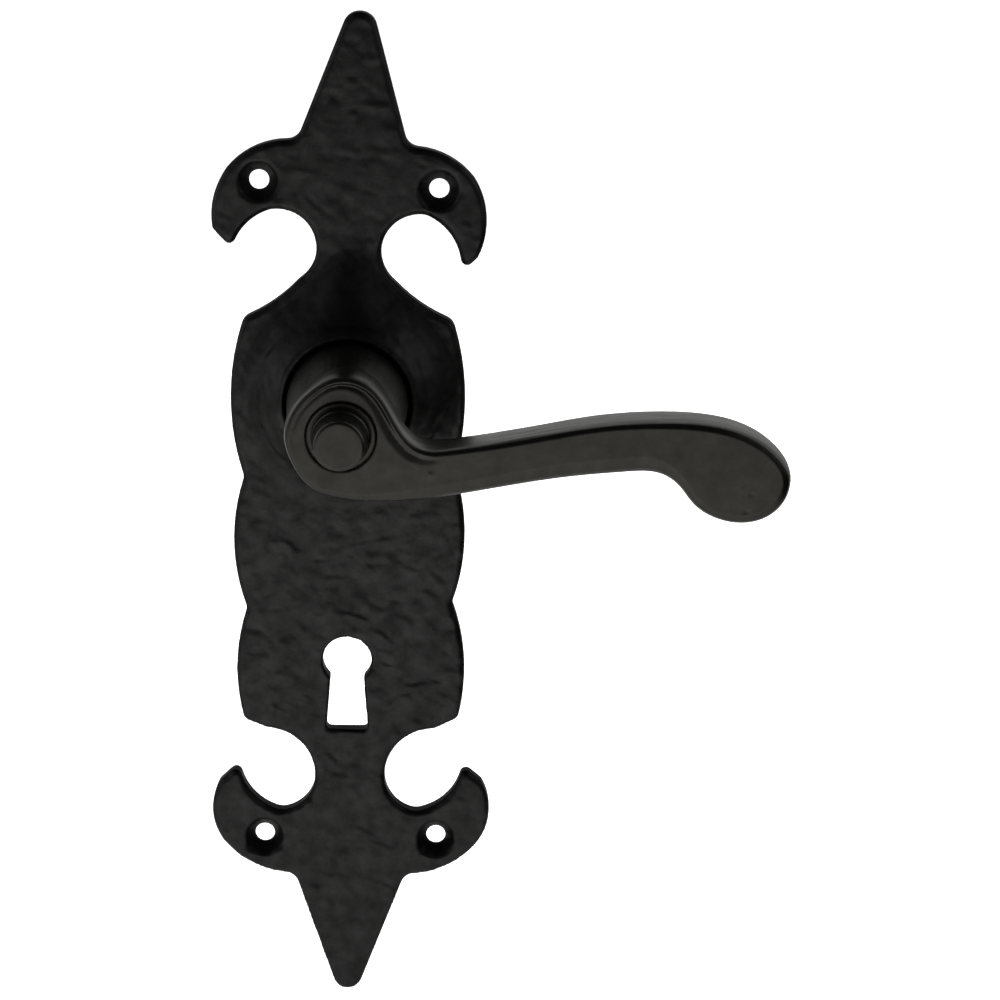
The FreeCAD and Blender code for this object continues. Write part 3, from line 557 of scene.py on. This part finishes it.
# %% The bell's height
def stepped(table, value):
    """The height that a table of (place, height) gives, with straight lines between rows."""
    for (place, height), (next_place, next_height) in zip(table, table[1:]):
        if place >= value >= next_place:
            share = (place - value) / (place - next_place)
            return height + (next_height - height) * share
    return None


def bell_height(x, z):
    """How far the softened bell stands in front of the plate's face, or None off the bell."""
    radius = math.hypot(x, z)
    if radius < SHOULDER_RADIUS:
        return stepped(DOME_SLOPE, radius)
    upward = max(0.0, z / radius) ** FOOT_SHARPNESS
    foot = FOOT_RADIUS + (FOOT_TOP - FOOT_RADIUS) * upward
    return stepped(BELL_SLOPE, (radius - SHOULDER_RADIUS) / (foot - SHOULDER_RADIUS))


# %% Lay the skin on the bell
BEHIND, UPRIGHT, REACH = 0.3, -0.12, 2.5


def soften_bell(skin):
    """Lays the points of the bell's front on its softer slope.

    Points at the back, on upright walls and more than REACH from the slope stay where they are.
    """
    moves = []
    for vertex in skin.data.vertices:
        place = vertex.co * 1000.0
        if place.y > FRONT + BEHIND or vertex.normal.y > UPRIGHT:
            continue
        height = bell_height(place.x, place.z)
        if height is not None and abs(place.y - FRONT + height) < REACH:
            moves.append((vertex, (FRONT - max(height, 0.0)) * MM))
    for vertex, depth in moves:
        vertex.co.y = depth
    skin.data.update()


soften_bell(plate_skin)
print("bell softened")


# %% Strike the plate
# Gains make the skin and the strokes deeper than written: at the top, and added lower down.
SKIN_GAIN, SKIN_GAIN_BELOW = 1.6, 2.2
STROKE_GAIN, STROKE_GAIN_BELOW = 1.4, 1.2
CRESCENT_GAIN = 2.6
CRESCENTS_WITHIN = 26.0
BELL_MOUTH = 13.4


def clamped(share):
    """A share held between 0 and 1."""
    return min(1.0, max(0.0, share))


def plate_depth(place, normal):
    """Depth at a point of the plate's skin: full on the face, none at the back and inside."""
    facing = clamped((-normal.y - 0.15) / 0.5)
    radius = math.hypot(place.x, place.z)
    if facing == 0.0 or place.y > -1.0 or radius < BELL_MOUTH:
        return 0.0
    low = clamped((10.0 - place.z) / 60.0)
    depth = (SKIN_GAIN + SKIN_GAIN_BELOW * low) * uneven(place.x, place.z)
    depth += (STROKE_GAIN + STROKE_GAIN_BELOW * low) * struck(STROKES, place.x, place.z)
    if radius < CRESCENTS_WITHIN:
        depth += CRESCENT_GAIN * struck(CRESCENTS, place.x, place.z)
    return facing * depth


dent(plate_skin, plate_depth)
deepest *= STROKE_GAIN + STROKE_GAIN_BELOW
print("plate struck, no stroke deeper than", round(deepest, 2), "mm")


# %% [markdown]
# ## Marks on the lever
#
# The lever was filed and rubbed smooth, so it has only small faults: filing left long shallow
# streaks along its top, and the sand left a pimple and a few pinholes on its face.
#
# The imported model's groove, valley and front bevel are cut crisply. Sand and coating fill such
# hollows, so the lever's front is pressed flatter near its face: the groove keeps a third of its
# depth, the valley round the head somewhat more and the arm's bevel half. What lies deeper than
# the knee is stretched to meet the untouched side of the arm.

# %% Streaks, a pimple and pinholes
# A fault is its place, x and z, its radius, and its depth, which is less than 0 where it stands
# proud. All are in mm.
FACE = -39.2
FAULTS = ((17.6, -7.5, 0.55, -0.10), (-1.3, -6.8, 0.3, 0.10), (79.3, -14.3, 0.3, 0.12),
          (80.4, -10.8, 0.35, 0.08))


def lever_depth(place, normal):
    """Depth at a point of the lever's skin: streaks on top, faults on the face."""
    if normal.z > 0.6 and place.x > 14.0 and place.y < -26.0:
        streak = noise.noise(Vector((place.x / 9.0, place.y / 1.6, 2.0)))
        lump = noise.noise(Vector((place.x / 4.0, place.y / 2.6, 9.0)))
        return (normal.z - 0.6) / 0.4 * (0.06 * streak + 0.03 * lump)
    if normal.y > -0.9 or abs(place.y - FACE) > 0.3:
        return 0.0
    depth = 0.012 * noise.noise(Vector((place.x / 2.5, place.z / 2.5, 4.0)))
    for x, z, radius, height in FAULTS:
        away = ((place.x - x) ** 2 + (place.z - z) ** 2) / radius ** 2
        if away < 9.0:
            depth += height * math.exp(-away)
    return depth


print(len(FAULTS), "faults on the lever's face")


# %% Ease the valley
GROOVE_RADIUS = 7.1
KNEE, EASED_DEPTH = 1.2, 3.4


def kept_share(radius):
    """The share of a hollow's depth that is kept, by the distance from the spindle's axis."""
    if radius < GROOVE_RADIUS:
        return 0.3
    return 0.36 + 0.14 * clamped((radius - 16.0) / 8.0)


def ease_valley(skin):
    """Makes the valley, the groove and the front bevel shallower, as the sand left them."""
    moves = []
    for vertex in skin.data.vertices:
        depth = vertex.co.y * 1000.0 - FACE
        if 0.0 < depth < EASED_DEPTH:
            share = kept_share(math.hypot(vertex.co.x, vertex.co.z) / MM)
            below = (EASED_DEPTH - KNEE * share) / (EASED_DEPTH - KNEE)
            eased = share * depth if depth < KNEE else EASED_DEPTH - (EASED_DEPTH - depth) * below
            moves.append((vertex, (FACE + eased) * MM))
    for vertex, place in moves:
        vertex.co.y = place
    skin.data.update()


ease_valley(lever_skin)
dent(lever_skin, lever_depth)
print("lever eased and marked")

# %% Dress both castings
for skin, body, coat, slot in ((plate_skin, "backplate", plate_coat, "plate_iron"),
                               (lever_skin, "lever", lever_coat, "lever_iron")):
    give(skin, coat)
    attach(skin, body)
    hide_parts(body)
    print(skin.name, "rides on", body)


# %% [markdown]
# ## Floor and light
#
# The photograph shows the handle alone on white paper. A large soft box stands at its left and a
# smaller one at its right, the wall behind it is white and the side walls are grey. Above the
# handle and in front of it the room is dark. So the slopes that face up are nearly black, the flat
# faces mirror the paper in front, and the sides of the neck mirror the walls.
#
# The camera sees a plain white background, and so does glass. Gloss sees the same background more
# dimly: the mirrored paper and the dark side of the room are a little lighter than they are lit.

# %% Who sees the background
def background_share(tree, glossy):
    """1 for what the camera sees, straight or through glass, and the share glossy for gloss."""
    path = add_node(tree, "ShaderNodeLightPath")
    seen = add_node(tree, "ShaderNodeMath",
                    {0: path.outputs["Is Camera Ray"], 1: path.outputs["Is Transmission Ray"]},
                    operation="MAXIMUM")
    mirrored = add_node(tree, "ShaderNodeMath",
                        {0: path.outputs["Is Glossy Ray"], 1: glossy}, operation="MULTIPLY")
    both = add_node(tree, "ShaderNodeMath", {0: seen.outputs[0], 1: mirrored.outputs[0]},
                    operation="MAXIMUM")
    return both.outputs[0]


def mixed_shaders(tree, share, low, high):
    """A shader between two."""
    mix = add_node(tree, "ShaderNodeMixShader", {0: share})
    tree.links.new(low.outputs[0], mix.inputs[1])
    tree.links.new(high.outputs[0], mix.inputs[2])
    return mix


# %% White paper on the floor
PAPER_GLOW = 1.1

material, tree, output = new_material("white_paper")
paper = add_node(tree, "ShaderNodeBsdfDiffuse", {"Color": linear("#e6e6e4")})
glow = add_node(tree, "ShaderNodeEmission", {"Color": linear("#ffffff"), "Strength": PAPER_GLOW})
none = add_node(tree, "ShaderNodeEmission", {"Strength": 0.0})
extra = mixed_shaders(tree, background_share(tree, 0.10), none, glow)
both = add_node(tree, "ShaderNodeAddShader")
tree.links.new(paper.outputs[0], both.inputs[0])
tree.links.new(extra.outputs[0], both.inputs[1])
tree.links.new(both.outputs[0], output.inputs["Surface"])
print("paper glows", PAPER_GLOW, "where the camera sees it")

# %% The floor
FLOOR = -0.165


def stage_piece(name, shape, material):
    """Makes a piece of the studio from a bmesh."""
    mesh = bpy.data.meshes.new(name)
    shape.to_mesh(mesh)
    shape.free()
    mesh.materials.append(material)
    piece = bpy.data.objects.new(name, mesh)
    bpy.context.scene.collection.objects.link(piece)
    return piece


ground = bmesh.new()
bmesh.ops.create_grid(ground, x_segments=1, y_segments=1, size=6.0,
                      matrix=Matrix.Translation((0.0, 0.0, FLOOR)))
floor = stage_piece("floor", ground, material)
print("floor at", FLOOR, "m")

# %% A black card
# It stands on the paper at the front right, where only the right slopes of the bell mirror it.
CARD_FRONT, CARD_BACK, CARD_TOP = (0.20, -0.50), (0.30, 0.10), 0.0

card = bmesh.new()
card.faces.new([card.verts.new(Vector(place)) for place in (
    (*CARD_FRONT, FLOOR), (*CARD_BACK, FLOOR), (*CARD_BACK, CARD_TOP), (*CARD_FRONT, CARD_TOP))])
material, tree, output = new_material("black_velvet")
velvet = add_node(tree, "ShaderNodeBsdfDiffuse", {"Color": linear("#101010")})
tree.links.new(velvet.outputs[0], output.inputs["Surface"])
flag = stage_piece("black_card", card, material)
flag.visible_camera = False
print("card stands up to", CARD_TOP, "m")


# %% The room around the handle
def walls_by_direction(sky):
    """How white the room is in a direction: behind fully, less at the sides, up to a dark lid."""
    toward = add_node(sky, "ShaderNodeTexCoord").outputs["Generated"]
    parts = add_node(sky, "ShaderNodeSeparateXYZ", {"Vector": toward})
    behind = add_node(sky, "ShaderNodeMapRange",
                      {"Value": parts.outputs["Y"], "From Min": -0.15, "From Max": 0.25,
                       "To Min": 0.0, "To Max": 1.0}, interpolation_type="SMOOTHSTEP")
    lid = add_node(sky, "ShaderNodeMapRange",
                   {"Value": parts.outputs["Z"], "From Min": 0.72, "From Max": 0.95,
                    "To Min": 1.0, "To Max": 0.0}, interpolation_type="SMOOTHSTEP")
    rear = add_node(sky, "ShaderNodeMath",
                    {0: behind.outputs["Result"], 1: lid.outputs["Result"]}, operation="MULTIPLY")
    aside = add_node(sky, "ShaderNodeMath", {0: parts.outputs["X"]}, operation="ABSOLUTE")
    side = add_node(sky, "ShaderNodeMapRange",
                    {"Value": aside.outputs[0], "From Min": 0.25, "From Max": 0.60,
                     "To Min": 0.0, "To Max": 0.27}, interpolation_type="SMOOTHSTEP")
    walls = add_node(sky, "ShaderNodeMath",
                     {0: side.outputs["Result"], 1: lid.outputs["Result"]}, operation="MULTIPLY")
    level = add_node(sky, "ShaderNodeMath", {0: rear.outputs[0], 1: walls.outputs[0]},
                     operation="MAXIMUM")
    return level.outputs[0]


# %% The world
world = bpy.data.worlds.new("studio")
bpy.context.scene.world = world
world.use_nodes = True
sky = world.node_tree
sky.nodes.clear()
sky_output = add_node(sky, "ShaderNodeOutputWorld")
white = add_node(sky, "ShaderNodeBackground", {"Color": (1.0, 1.0, 1.0, 1.0), "Strength": 1.0})
room = add_node(sky, "ShaderNodeBackground",
                {"Color": (0.5, 0.5, 0.5, 1.0), "Strength": walls_by_direction(sky)})
sky_mix = mixed_shaders(sky, background_share(sky, 0.02), room, white)
sky.links.new(sky_mix.outputs[0], sky_output.inputs["Surface"])
bpy.context.scene.view_settings.view_transform = "Standard"
print("world:", len(sky.nodes), "nodes")


# %% Soft boxes
def soft_box(name, place, width, height, power):
    """A rectangular lamp that faces the handle."""
    lamp = bpy.data.lights.new(name, "AREA")
    lamp.shape = "RECTANGLE"
    lamp.size = width
    lamp.size_y = height
    lamp.energy = power
    box = bpy.data.objects.new(name, lamp)
    box.location = place
    aim = Vector((0.02, -0.02, -0.02))
    box.rotation_euler = (aim - Vector(place)).to_track_quat("-Z", "Y").to_euler()
    bpy.context.scene.collection.objects.link(box)
    print(name, power, "W")


soft_box("left_box", (-0.80, -0.10, 0.14), 0.6, 0.5, 0.5)
soft_box("right_box", (0.46, -0.02, 0.24), 0.3, 0.3, 0.15)


# %% Lamps over the paper
# The front one lights the paper that the flat faces mirror, brightest near the handle. The rear
# one does the same for views from behind.
def paper_lamp(name, place, power):
    """A lamp with a wide soft beam, straight above the paper and too high to be seen in gloss."""
    lamp = bpy.data.objects.new(name, bpy.data.lights.new(name, "SPOT"))
    lamp.data.energy = power
    lamp.data.spot_size = math.radians(58.0)
    lamp.data.spot_blend = 1.0
    lamp.data.shadow_soft_size = 0.1
    lamp.location = place
    lamp.visible_glossy = False
    bpy.context.scene.collection.objects.link(lamp)
    print(name, power, "W")


paper_lamp("front_paper_lamp", (-0.06, -0.53, 1.10), 48.0)
paper_lamp("rear_paper_lamp", (0.0, 0.55, 1.10), 50.0)
